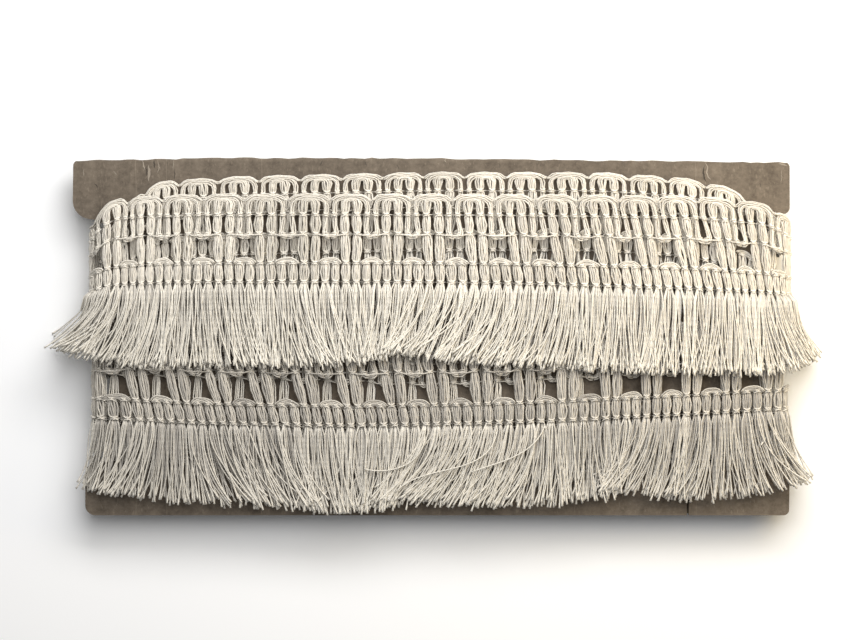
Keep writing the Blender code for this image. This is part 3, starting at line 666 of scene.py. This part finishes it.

# %% [markdown]
# ## The fringe
#
# Below the last chain row each bundle opens into loose yarns, cut to one length. They fan out, lie over
# each other and bend in soft sweeps. On the two open front laps the sweeps follow a short table of how far
# the tips have moved along the card, for places across it. Elsewhere slow waves move them. Slow waves also
# gather neighbouring yarns into locks, and each yarn has its own small bends. A yarn thins a little down
# its length and opens at its cut end. Each yarn darkens from its tip up to its root, and the yarns that lie
# deeper are darker than those on top, as painted shade. Near the middle of the two front laps the yarns
# are paler, as a painted pool of light.

# %% Model the fringe
YARN_RADIUS = 0.23
ROOT_SPREAD = 0.62
EAR_TOP, EAR_SIDE, EAR_CLEAR = -33.0, 95.0, 2.3
UNDERSIDE = -8.0
FOOT_END, BEND_END = 0.09, 0.45
UPPER_SWEEPS = np.array([
    (-101, -15), (-96, -12), (-92, -11), (-88, -8), (-84, -5), (-81, -3), (-78, -3), (-74, -4), (-70, 0),
    (-66, 4), (-62, 3), (-57, 4), (-51, 3), (-44, 3), (-39, 6), (-33, 5), (-26, 1), (-18, 0), (-12, -3),
    (-8, -7), (0, -9), (9, -9), (20, -9), (32, -8), (41, -6), (50, -2), (62, -2), (75, -1), (86, -1),
    (94, 1), (98, 4), (103, 9), (106, 12)
])
LOWER_SWEEPS = np.array([
    (-102, -3), (-96, -6), (-88, -7), (-81, -5), (-77, -1), (-72, 5), (-67, 9), (-62, 11), (-57, 9),
    (-51, 8), (-45, 9), (-39, 7), (-33, 3), (-26, 2), (-20, -1), (-14, -4), (-8, -7), (-2, -12), (5, -14),
    (11, -14), (17, -10), (23, -11), (28, -10), (32, -5), (38, -1), (44, 1), (50, 2), (54, -4), (59, -9),
    (67, -9), (71, -5), (77, -5), (83, -4), (88, 0), (92, 5), (97, 8), (101, 10), (106, 12)
])


def across_card(centre):
    """How far along the card those places of the course lie, and which way the course runs there."""
    zero = 0 * centre
    x = on_card(centre, zero, zero)[0][:, 0]
    ahead = on_card(centre + 0.5, zero, zero + 4)[0] - on_card(centre - 0.5, zero, zero + 4)[0]
    return x, ahead / np.linalg.norm(ahead, axis=1, keepdims=True)


def sweeps_of(bundle, centre, x, layer, table):
    """How far each yarn's tip is swept along the course. A few yarns stray further."""
    many = len(bundle)
    waves = 1.4 * np.sin(bundle / 2.6 + 1.3 + layer) + 1.1 * np.sin(bundle / 1.31 + 2 * layer)
    if table is None:
        sweep = value("splay", centre) + 3.0 * np.sin(bundle / 11) + 2.0 * np.sin(bundle / 6.1)
    else:
        sweep = np.interp(x, *table.T)
    share = np.where(layer > 0, rng.uniform(0.75, 1.15, many), rng.uniform(0.3, 0.95, many))
    sweep = sweep * share + waves + rng.normal(0, 1.9, many)
    stray = (rng.random(many) > 0.97) & (layer > 0) & (np.abs(x) < 92)
    return np.where(stray, sweep + rng.uniform(-9, 9, many), sweep)


def layers_down(centre, t):
    """The layer that each yarn lies on at t, from 0 at its root to 1 at its tip."""
    far, mid, tip = (value(name, centre)[:, None] for name in ("far", "mid", "tip"))
    foot = far + (mid - far) * 0.75
    layers = far + (foot - far) * np.clip(t / FOOT_END, 0, 1)
    layers = layers + (mid - foot) * np.clip((t - FOOT_END) / (BEND_END - FOOT_END), 0, 1)
    return layers + (tip - mid) * np.clip((t - BEND_END) / (1 - BEND_END), 0, 1)


def kept_clear(points):
    """Keeps the yarns off the card's lower ears, on the side that they hang on, and above the floor."""
    at_ear = (np.abs(points[..., 0]) > EAR_SIDE) & (points[..., 1] < EAR_TOP)
    clear = np.clip((EAR_TOP - points[..., 1]) / 4, 0, 1) * EAR_CLEAR
    behind = points[:, :1, 2] < 0
    pushed = np.where(behind, np.minimum(points[..., 2], -clear), np.maximum(points[..., 2], clear))
    points[..., 2] = np.where(at_ear, pushed, points[..., 2])
    points[..., 2] = np.maximum(points[..., 2], UNDERSIDE + YARN_RADIUS)
    return points


def yarns_below(store, laps, steps, sides, yarns, table):
    """Adds the cut yarns below each bundle of those laps. The last step of a yarn is its blunt tip."""
    bundle = np.repeat(centres_of(laps, SPACING / 2, SPACING), yarns)
    many = len(bundle)
    across = np.tile(np.linspace(-1, 1, yarns), many // yarns) + rng.uniform(-0.2, 0.2, many)
    layer = rng.permuted(np.linspace(-1, 1, many))
    root = bundle + across * ROOT_SPREAD
    centre = settled(root) + value("lean", settled(root))
    x, ahead = across_card(centre)
    sweep = sweeps_of(bundle, centre, x, layer, table)
    hang = value("hang", centre) * rng.uniform(0.93, 1.03, many) + rng.uniform(-0.6, 0.6, many)
    hang = hang * (1 - 0.35 * np.clip(sweep / hang, -1, 1) ** 2)
    t = np.append(np.linspace(0, 0.965, steps - 1) ** 0.9, 1.0)[None]
    phase = rng.uniform(0, 2 * math.pi, (3, many, 1))
    sway = rng.uniform(0.2, 1.3, (many, 1)) * np.sin(3.4 * t + phase[0]) * t
    sway += 0.15 * np.sin(8 * t + phase[1]) * t
    fan = across[:, None] * (1 - np.exp(-15 * t))
    aside = fan + sweep[:, None] * t ** rng.uniform(1.3, 2.5, (many, 1)) + sway
    lift = layer[:, None] * (0.4 + 0.5 * np.minimum(t * 3, 1)) + 0.1 * np.sin(5 * t + phase[2])
    top, _ = on_heading(root, np.full(many, HEADING_DEPTH), layer * 0.4)
    height = top[:, 1:2] - hang[:, None] * t
    out = layer_height(layers_down(centre, t)) + lift
    points, outwards = on_card(np.broadcast_to(centre[:, None], height.shape), height, out)
    points = kept_clear(points + ahead[:, None] * aside[:, :, None])
    radius = YARN_RADIUS * np.interp(t[0], (0.0, 0.93, 1.0), (1.0, 0.85, 1.4))
    # Yarns that lie deeper are darker than those on top: painted shade.
    tints = 0.7 * tints_of(bundle, 0.45, 0.8) + 0.2 * layer + rng.normal(0, 0.12, many)
    # Each yarn darkens from its tip up to its root: painted shade.
    tints = tints[:, None] + 0.4 * (t - 0.5)
    # On the two front laps the yarns are paler near the middle and darker towards the ends: a painted pool
    # of light.
    if table is not None:
        tints += 0.31 * np.exp(-((x[:, None] / 50) ** 2)) - 0.12
    add_strands(store, points, outwards, radius, sides, tints)


def make_fringe(name, laps, steps, sides, yarns, table=None):
    store = new_store()
    yarns_below(store, laps, steps, sides, yarns, table)
    return strand_piece(name, store, fringe_yarn)


fringes = [
    make_fringe("fringe_covered", [0, 1, 2, 5], 6, 3, 7),
    make_fringe("fringe_lower_front", [LOWER_FRONT], 12, 4, 16, LOWER_SWEEPS),
    make_fringe("fringe_back", [4, 6, 8], 8, 3, 9),
    make_fringe("fringe_upper_front", [7], 12, 4, 16, UPPER_SWEEPS),
]

# Three long yarns have strayed across the lower fringe. Each row is a path in millimetres on the card.
STRAYS = [
    [(34.0, -26.2), (29.3, -32.8), (17.9, -38.2), (11.6, -40.3)],
    [(19.7, -27.2), (15.8, -35.5), (7.0, -38.6), (-5.2, -42.7), (-11.0, -46.3)],
    [(-2.0, -27.2), (-7.4, -38.0), (-12.4, -39.4), (-17.2, -40.0), (-20.2, -39.2)],
]


def stray_yarns(name):
    store = new_store()
    fine = np.linspace(0, 1, 24)
    for path in STRAYS:
        x, y = np.array(path).T
        step = np.hypot(np.diff(x), np.diff(y))
        part = np.concatenate([[0.0], np.cumsum(step)]) / step.sum()
        x, y = (np.polyval(np.polyfit(part, values, 3), fine) for values in (x, y))
        z = layer_height(2.0) + 0.2 + 1.35 * np.minimum(fine * 4, 1)
        points = np.stack([x, y, z], axis=-1)[None]
        add_strands(store, points, np.broadcast_to((0.0, 0.0, 1.0), points.shape), 0.19, 6, np.array([0.5]))
    return strand_piece(name, store, fringe_yarn)


fringes.append(stray_yarns("fringe_strays"))
for piece in fringes:
    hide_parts("fringe")

# %% [markdown]
# ## The winding card
#
# The card is corrugated board, 3 mm thick: two flat liners of kraft paper with a fluted sheet between
# them. The flutes run up the card, so their openings show along its top and bottom edges. Its ends are cut
# in to notches that keep the trim on. The outline is cut from one plane, corner by corner as with a knife,
# and the liners get their thickness last.

# %% Cut a liner from a plane
WEST, EAST, SOUTH, NORTH = -107.8, 107.6, -53.4, 54.1
NOTCH_WEST, NOTCH_EAST, NOTCH_SOUTH, NOTCH_NORTH = -96.4, 101.5, -37.0, 36.0
EAR_WEST = -104.0
CORNERS = [
    (EAR_WEST, SOUTH, 3.0), (107.4, SOUTH, 1.6), (EAST, -38.0, 3.0), (NOTCH_EAST, -36.0, 1.5),
    (NOTCH_EAST, 36.8, 1.2), (EAST, 37.2, 1.8), (EAST, 52.6, 1.4), (-107.6, 53.1, 1.4), (WEST, 36.4, 4.5),
    (NOTCH_WEST, 34.6, 1.2), (NOTCH_WEST, -36.0, 1.5), (EAR_WEST, -38.0, 3.0)
]
TOP_EDGE = np.array([(-107.6, 53.1), (-60.0, 54.0), (0.0, 53.85), (60.0, 53.1), (107.6, 52.6)])
SLIT_WEST, SLIT_EAST, SLIT_END = 76.7, 77.3, -48.9
LINER = 0.42
NICKS = 120


def select_near(mesh, x, y):
    """Selects the one vertex of the outline nearest to that place, and gives where it is."""
    bpy.ops.mesh.select_all(action="DESELECT")
    shape = bmesh.from_edit_mesh(mesh)
    nearest = min(shape.verts, key=lambda v: math.hypot(v.co.x / MM - x, v.co.y / MM - y))
    nearest.select = True
    shape.select_flush(True)
    bmesh.update_edit_mesh(mesh)
    return nearest.co.copy()


def cut_out(mesh):
    """Cuts the notches, the step below the left one and the slit out of the plane."""
    for x in (NOTCH_WEST, NOTCH_EAST, SLIT_WEST, SLIT_EAST, EAR_WEST):
        bpy.ops.mesh.select_all(action="SELECT")
        bpy.ops.mesh.bisect(plane_co=(x * MM, 0, 0), plane_no=(1, 0, 0))
    for y in (NOTCH_SOUTH, NOTCH_NORTH, SLIT_END):
        bpy.ops.mesh.select_all(action="SELECT")
        bpy.ops.mesh.bisect(plane_co=(0, y * MM, 0), plane_no=(0, 1, 0))
    bpy.ops.mesh.select_all(action="DESELECT")
    shape = bmesh.from_edit_mesh(mesh)
    for face in shape.faces:
        x, y = (c / MM for c in face.calc_center_median()[:2])
        in_notch = (x < NOTCH_WEST or x > NOTCH_EAST) and NOTCH_SOUTH < y < NOTCH_NORTH
        in_slit = SLIT_WEST < x < SLIT_EAST and y < SLIT_END
        face.select = in_notch or in_slit or (x < EAR_WEST and y < NOTCH_SOUTH)
    bmesh.update_edit_mesh(mesh)
    bpy.ops.mesh.delete(type="FACE")
    bpy.ops.mesh.select_all(action="SELECT")
    bpy.ops.mesh.dissolve_limited(angle_limit=0.01)


def round_corners(mesh):
    """Moves each corner to its place, and then rounds it."""
    for x, y, _ in CORNERS:
        place = select_near(mesh, x, y)
        bpy.ops.transform.translate(value=(x * MM - place.x, y * MM - place.y, 0))
    for x, y, round_by in CORNERS:
        select_near(mesh, x, y)
        bpy.ops.mesh.bevel(offset=round_by * MM, segments=5, affect="VERTICES")


def wear_top_edge(mesh):
    """Divides the long top edge and moves its points, so that it sags and is nicked."""
    bpy.ops.mesh.select_all(action="DESELECT")
    shape = bmesh.from_edit_mesh(mesh)
    for edge in shape.edges:
        edge.select = min(v.co.y for v in edge.verts) > 52 * MM and edge.calc_length() > 0.05
    bmesh.update_edit_mesh(mesh)
    bpy.ops.mesh.subdivide(number_cuts=150)
    nicks = np.random.default_rng(9)
    places = np.cumsum(nicks.uniform(0.7, 4.0, NICKS)) + WEST
    depths = nicks.choice([-0.28, -0.12, 0.0, 0.08, 0.14], NICKS)
    shape = bmesh.from_edit_mesh(mesh)
    for vert in shape.verts:
        if vert.select:
            x = vert.co.x / MM
            worn = np.interp(x, places, depths) + 0.05 * math.sin(x * 5.3 + 2)
            vert.co.y = (np.interp(x, *TOP_EDGE.T) + worn) * MM
    bmesh.update_edit_mesh(mesh)


def thicken(made, thickness, offset):
    """Gives a sheet of paper its thickness, to its lower side with offset -1 and to both with 0."""
    thick = made.modifiers.new("Thickness", "SOLIDIFY")
    thick.thickness = thickness * MM
    thick.offset = offset
    bpy.ops.object.modifier_apply(modifier=thick.name)


def cut_liner(name, height):
    """A liner whose upper face lies at that height over the middle of the card."""
    bpy.ops.object.select_all(action="DESELECT")
    bpy.ops.mesh.primitive_plane_add(size=1.0)
    made = bpy.context.object
    made.name = name
    bpy.ops.object.mode_set(mode="EDIT")
    bpy.ops.transform.resize(value=((EAST - WEST) * MM, (NORTH - SOUTH) * MM, 1.0))
    bpy.ops.transform.translate(value=((EAST + WEST) / 2 * MM, (NORTH + SOUTH) / 2 * MM, height * MM))
    cut_out(made.data)
    round_corners(made.data)
    wear_top_edge(made.data)
    bpy.ops.mesh.select_all(action="SELECT")
    bpy.ops.transform.translate(value=SHIFT)
    bpy.ops.object.mode_set(mode="OBJECT")
    thicken(made, LINER, -1.0)
    return made


front_liner = cut_liner("card_front_liner", CARD_THICK / 2)
back_liner = cut_liner("card_back_liner", LINER - CARD_THICK / 2)
print("liner faces", len(front_liner.data.polygons))

# %% [markdown]
# The fluted sheet is a row of waves. Each block of it is a grid, whose columns are raised and lowered in a
# sine and whose ends stop just inside the liners' edges. Solidify gives the paper its thickness.

# %% Bend the fluted core
FLUTE = 6.5
WAVE_STEPS = 8
CORE_PAPER = 0.2


def flute_block(low_x, high_x, low_y, high_y=None):
    """One block of the fluted core. Without high_y it goes up to just below the top edge."""
    bpy.ops.object.select_all(action="DESELECT")
    columns = round((high_x - low_x) / FLUTE * WAVE_STEPS)
    bpy.ops.mesh.primitive_grid_add(x_subdivisions=columns, y_subdivisions=1, size=1.0)
    made = bpy.context.object
    bpy.ops.object.mode_set(mode="EDIT")
    shape = bmesh.from_edit_mesh(made.data)
    for vert in shape.verts:
        x = low_x + (vert.co.x + 0.5) * (high_x - low_x)
        top = np.interp(x, *TOP_EDGE.T) - 0.5 if high_y is None else high_y
        y = low_y if vert.co.y < 0 else top
        z = (CARD_THICK / 2 - LINER - CORE_PAPER / 2) * math.sin(2 * math.pi * x / FLUTE)
        vert.co = (x * MM, y * MM, z * MM)
    bmesh.update_edit_mesh(made.data)
    bpy.ops.transform.translate(value=SHIFT)
    bpy.ops.object.mode_set(mode="OBJECT")
    thicken(made, CORE_PAPER, 0.0)
    return made


blocks = [
    flute_block(NOTCH_WEST + 0.4, NOTCH_EAST - 0.4, SOUTH + 0.5),
    flute_block(WEST + 1.2, NOTCH_WEST, 39.5),
    flute_block(NOTCH_EAST, EAST - 1.2, 38.6),
    flute_block(-103.0, NOTCH_WEST, SOUTH + 1.2, -40.2),
    flute_block(NOTCH_EAST, EAST - 1.2, SOUTH + 1.0, -39.8),
]
bpy.ops.object.select_all(action="DESELECT")
for block in blocks:
    block.select_set(True)
bpy.context.view_layer.objects.active = blocks[0]
bpy.ops.object.join()
core = bpy.context.object
core.name = "card_fluted_core"
print("core faces", len(core.data.polygons))

# %% [markdown]
# The liner's face is scuffed near its top edge: a torn strip with raised pale edges on the left, a long
# crack on the right and a few shorter ones between. Each is a thin sliver of paper, a ribbon along a short
# path on the face. A number on it, from 0 for a crack's painted shade to 1 for bare pale fibre, gives its
# tone.

# %% Scuffs on the face
SCUFF_STEPS = 13
# Each row: tone, from 0 for a crack's painted shade to 1 for bare pale fibre, widest width, and the places
# that the sliver runs through, in millimetres on the card.
SCUFFS = [
    (0.9, 0.5, [(-86.7, 53.2), (-86.5, 51.5), (-86.0, 50.4)]),
    (0.0, 0.42, [(-85.8, 51.4), (-85.5, 49.8), (-85.7, 48.4)]),
    (0.75, 0.8, [(-85.0, 51.8), (-84.8, 49.6), (-85.0, 46.9)]),
    (0.0, 0.45, [(-83.4, 53.3), (-83.2, 51.9), (-83.3, 50.8)]),
    (0.85, 0.3, [(-82.1, 52.9), (-81.8, 51.0), (-82.4, 49.4)]),
    (0.05, 0.3, [(-77.2, 50.6), (-77.1, 48.8), (-77.3, 47.4)]),
    (0.7, 0.25, [(-77.5, 53.6), (-77.4, 51.9), (-77.7, 50.5)]),
    (0.65, 0.3, [(-104.6, 50.6), (-104.4, 49.2), (-104.5, 48.4)]),
    (0.6, 0.35, [(-95.5, 50.0), (-95.0, 49.3), (-94.5, 48.9)]),
    (0.05, 0.3, [(-101.3, 46.2), (-100.6, 45.7), (-100.2, 45.0)]),
    (0.1, 0.25, [(-32.6, 53.4), (-33.1, 52.3), (-33.6, 51.6)]),
    (0.1, 0.25, [(-20.1, 53.3), (-19.8, 52.2), (-19.3, 51.4)]),
    (0.1, 0.22, [(-10.4, 52.0), (-9.9, 51.0), (-9.6, 50.4)]),
    (0.8, 0.3, [(4.2, 53.8), (4.1, 53.0), (4.4, 52.5)]),
    (0.1, 0.2, [(20.3, 52.4), (20.6, 51.6), (20.5, 50.9)]),
    (0.0, 0.5, [(81.9, 51.6), (81.6, 49.8), (81.9, 48.0), (82.6, 46.6)]),
    (0.9, 0.45, [(82.3, 52.6), (82.9, 51.2), (82.7, 49.6), (83.1, 48.2), (83.9, 47.2)]),
    (0.7, 0.7, [(104.2, 52.3), (105.6, 52.0), (106.8, 51.6)]),
    (0.6, 0.3, [(105.1, 50.4), (105.2, 48.2), (105.0, 46.2)]),
    (0.1, 0.3, [(98.6, 46.4), (98.9, 45.7), (98.8, 45.2)]),
]


def cut_scuffs(name):
    """Adds the slivers as ribbons that taper to a point at both ends, just above the liner's face."""
    points, faces, tones = [], [], []
    fine = np.linspace(0, 1, SCUFF_STEPS)
    for tone, width, path in SCUFFS:
        part = np.linspace(0, 1, len(path))
        line = np.stack([np.interp(fine, part, places) for places in zip(*path)], axis=-1)
        ahead = np.gradient(line, axis=0)
        ahead /= np.linalg.norm(ahead, axis=1, keepdims=True)
        beside = np.stack([ahead[:, 1], -ahead[:, 0]], axis=1)
        line += beside * rng.normal(0, 0.06, (SCUFF_STEPS, 1))
        half = width / 2 * np.sin(math.pi * (0.04 + 0.92 * fine)) * rng.uniform(0.7, 1.1, SCUFF_STEPS)
        beside *= half[:, None]
        start = len(points)
        for left, right in zip(line - beside, line + beside):
            points += [(*left, CARD_THICK / 2 + 0.02), (*right, CARD_THICK / 2 + 0.05)]
        places = range(start, start + 2 * SCUFF_STEPS - 2, 2)
        faces += [(k, k + 1, k + 3, k + 2) for k in places]
        tones += [tone] * (2 * SCUFF_STEPS)
    mesh = bpy.data.meshes.new(name)
    mesh.from_pydata(np.array(points) * MM + SHIFT, [], faces)
    mesh.attributes.new("tone", "FLOAT", "POINT").data.foreach_set("value", np.array(tones))
    return new_object(name, mesh)


scuffs = cut_scuffs("card_scuffs_painted_crack_shade")
print("scuffs", len(SCUFFS), "facing up", all(face.normal.z > 0 for face in scuffs.data.polygons))

# %% [markdown]
# Kraft board is a warm grey-brown, made of short fibres. Noise at four sizes gives its clouds, its
# blotches, its grain and its specks. The flutes show through the liner as faint upright bars, of bump and
# of painted light and shade, old creases as thin light lines, and the worn top edge is paler.

# %% Kraft board
CREASES = [(-88.8, 0.15), (-79.5, 0.12), (-51.0, 0.12), (31.0, 0.12), (79.5, 0.12)]


def kraft_board(name, dark, light, is_face):
    made, tree, shader = new_material(name)
    centred = add_node(tree, "ShaderNodeMapping")
    centred.inputs["Location"].default_value = tuple(-SHIFT)
    tree.links.new(object_place(tree), centred.inputs["Vector"])
    place = centred.outputs["Vector"]
    stretched = add_node(tree, "ShaderNodeMapping")
    stretched.inputs["Scale"].default_value = (1.0, 0.35, 1.0)
    tree.links.new(place, stretched.inputs["Vector"])
    clouds = noise_node(tree, place, Scale=28.0, Detail=4.0)
    blotches = noise_node(tree, place, Scale=190.0, Detail=3.0, Distortion=1.5)
    grain = noise_node(tree, place, Scale=700.0, Detail=6.0, Roughness=0.75)
    specks = noise_node(tree, stretched.outputs["Vector"], Scale=1500.0, Detail=1.0)

    def added(tone, source, strength):
        return math_node(tree, "MULTIPLY_ADD", source, strength, tone)

    parts = add_node(tree, "ShaderNodeSeparateXYZ")
    tree.links.new(place, parts.inputs[0])
    x, y = parts.outputs["X"], parts.outputs["Y"]
    tone = added(added(added(-0.1, clouds, 0.3), grain, 0.7), blotches, 0.3)
    tone = added(tone, math_node(tree, "GREATER_THAN", specks, 0.68), 0.14)
    flutes = math_node(tree, "SINE", math_node(tree, "MULTIPLY", x, 2 * math.pi / (FLUTE * MM)))
    if is_face:
        # The flutes' faint bars in the face's colour are painted light and shade of their low ridges.
        tone = added(tone, flutes, 0.035)
        worn = math_node(tree, "MULTIPLY", math_node(tree, "SUBTRACT", y, 52.6 * MM), 260.0)
        worn = math_node(tree, "MINIMUM", math_node(tree, "MAXIMUM", worn, 0.0), 0.35)
        tone = added(tone, worn, grain)
        for crease, width in CREASES:
            wavy = math_node(tree, "MULTIPLY_ADD", clouds, 1.2 * MM, (-0.6 - crease) * MM)
            away = math_node(tree, "ABSOLUTE", math_node(tree, "ADD", x, wavy))
            tone = added(tone, math_node(tree, "LESS_THAN", away, width * MM), 0.16)
    colour_by(tree, shader, tone, [(0.3, dark), (1.0, light)])
    relief = math_node(tree, "MULTIPLY", flutes, 0.25)
    bump_by(tree, shader, added(relief, grain, 0.5), 0.7, 0.00012)
    shader.inputs["Roughness"].default_value = 0.88
    shader.inputs["Specular IOR Level"].default_value = 0.25
    return made


liner_paper = kraft_board("Kraft liner", (0.075, 0.06, 0.046), (0.265, 0.22, 0.17), True)
core_paper = kraft_board("Fluting paper", (0.08, 0.065, 0.046), (0.225, 0.185, 0.135), False)


def fibre_and_crack_shade(name):
    """The scuffs' own colour: its tone runs from a crack's painted shade to bare pale fibre."""
    made, tree, shader = new_material(name)
    tone = add_node(tree, "ShaderNodeAttribute", attribute_name="tone").outputs["Fac"]
    grain = noise_node(tree, object_place(tree), Scale=900.0, Detail=4.0)
    tone = math_node(tree, "MULTIPLY_ADD", grain, 0.4, tone)
    colour_by(tree, shader, tone, [(0.2, (0.045, 0.036, 0.027)), (1.0, (0.29, 0.25, 0.2))])
    shader.inputs["Roughness"].default_value = 0.9
    return made


papers = {
    front_liner: liner_paper,
    back_liner: liner_paper,
    core: core_paper,
    scuffs: fibre_and_crack_shade("Bare fibre and painted crack shade"),
}
for piece, paper in papers.items():
    piece.data.materials.clear()
    piece.data.materials.append(paper)
    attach(piece, "root")
    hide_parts("winding_card")

# %% [markdown]
# ## Floor, light and camera
#
# The card lies on a plain pale floor, seen straight from above. A wide soft lamp beyond its top edge makes
# the short shadow below the card and lights the yarns from their upper side. A larger one overhead reaches
# into the windows. A small warm one on the right colours that end, as the photograph's light does.

# %% Floor
bpy.ops.object.select_all(action="DESELECT")
bpy.ops.mesh.primitive_plane_add(size=4.0, location=(0, 0, -0.0002))
floor = bpy.context.object
floor.name = "floor"
pale, tree, shader = new_material("Pale floor")
grain = noise_node(tree, object_place(tree), Scale=3.0)
colour_by(tree, shader, grain, [(0.0, (0.94, 0.95, 0.96)), (1.0, (0.96, 0.97, 0.98))])
shader.inputs["Roughness"].default_value = 0.9
floor.data.materials.append(pale)

# %% Lights


def soft_lamp(name, place, size, size_y, power, colour):
    lamp = bpy.data.lights.new(name, "AREA")
    lamp.shape = "RECTANGLE"
    lamp.size = size
    lamp.size_y = size_y
    lamp.energy = power
    lamp.color = colour
    made = new_object(name, lamp)
    made.location = place
    made.rotation_euler = (-Vector(place)).to_track_quat("-Z", "Y").to_euler()
    print(f"{name}: {power} W, {size} x {size_y} m")


soft_lamp("key", (0.08, 0.33, 0.30), 0.5, 0.16, 2.0, (1.0, 0.98, 0.96))
soft_lamp("overhead", (0.03, 0.20, 0.56), 0.6, 0.4, 2.0, (1.0, 0.99, 0.98))
soft_lamp("warm side", (0.2, 0.04, 0.12), 0.1, 0.1, 0.17, (1.0, 0.8, 0.47))
world = bpy.data.worlds.new("Soft room")
world.use_nodes = True
world.node_tree.nodes["Background"].inputs["Color"].default_value = (1, 1, 1, 1)
world.node_tree.nodes["Background"].inputs["Strength"].default_value = 0.22
bpy.context.scene.world = world
bpy.context.scene.view_settings.view_transform = "Standard"

# %% Camera
PIXEL = 0.3
PHOTO_WIDE, PHOTO_HIGH = 850, 640
CARD_AT = (431.5, 337.5)
VIEW_MIDDLE = np.array([
    (PHOTO_WIDE / 2 - CARD_AT[0]) * PIXEL, (CARD_AT[1] - PHOTO_HIGH / 2) * PIXEL, CARD_THICK
]) * MM + SHIFT
lens = bpy.data.cameras.new("camera")
lens.lens = 180.0
lens.sensor_width = 36.0
lens.clip_start = 0.01
distance = PHOTO_WIDE * PIXEL * MM * lens.lens / lens.sensor_width
camera = new_object("camera", lens)
camera.location = (VIEW_MIDDLE[0], VIEW_MIDDLE[1], VIEW_MIDDLE[2] + distance)
bpy.context.scene.camera = camera
print("camera", round(distance, 3), "m above the card")
